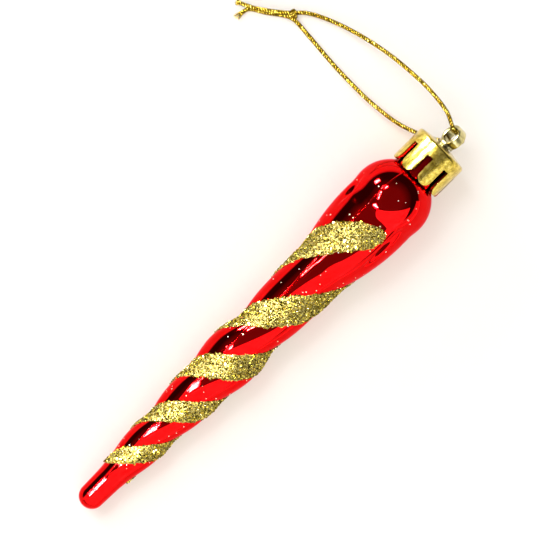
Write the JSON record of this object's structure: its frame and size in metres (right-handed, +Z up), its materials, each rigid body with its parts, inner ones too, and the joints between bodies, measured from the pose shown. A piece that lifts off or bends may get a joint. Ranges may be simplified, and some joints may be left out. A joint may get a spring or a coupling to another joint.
{
  "type": "icicle hanging ornament",
  "caption": "Hollow twisted icicle ornament with glitter bands in its grooves, a pull-off crown cap, a turning eyelet and a knotted hanging cord.",
  "frame": {"origin": "centre of the box of the body, cap and eyelet in plan, at the surface that the ornament lies on", "axes": "+X from the tip towards the cap, +Y towards the cord loop, +Z up"},
  "size_m": [0.1347, 0.0719, 0.0205],
  "materials": {
    "body_red": "mirror-bright metallised red plastic, one fine parting line",
    "glitter": "crust of gold hexagonal glitter flakes in glue",
    "cap_gold": "pale gold metallised plastic, finely speckled",
    "eyelet_gold": "smooth bright silvery-gold metallised plastic",
    "cord_gold": "twisted metallic gold cord"
  },
  "bodies": {
    "ornament": {"body_shell": "body_red", "glitter_band_a": "glitter", "glitter_band_b": "glitter"},
    "crown_cap": {"cap": "cap_gold"},
    "hanger": {"eyelet": "eyelet_gold", "cord_loop": "cord_gold", "cord_knot": "cord_gold", "cord_tail_upper": "cord_gold", "cord_tail_lower": "cord_gold"}
  },
  "joints": [
    {"name": "cap_pull", "type": "slide", "parent": "ornament", "child": "crown_cap", "axis": [0.9988, 0, 0.0485], "range_m": [0, 0.012]},
    {"name": "eyelet_swivel", "type": "hinge", "parent": "crown_cap", "child": "hanger", "pos_m": [0.0634, 0, 0.01135], "axis": [0.9988, 0, 0.0485], "continuous": true}
  ]
}
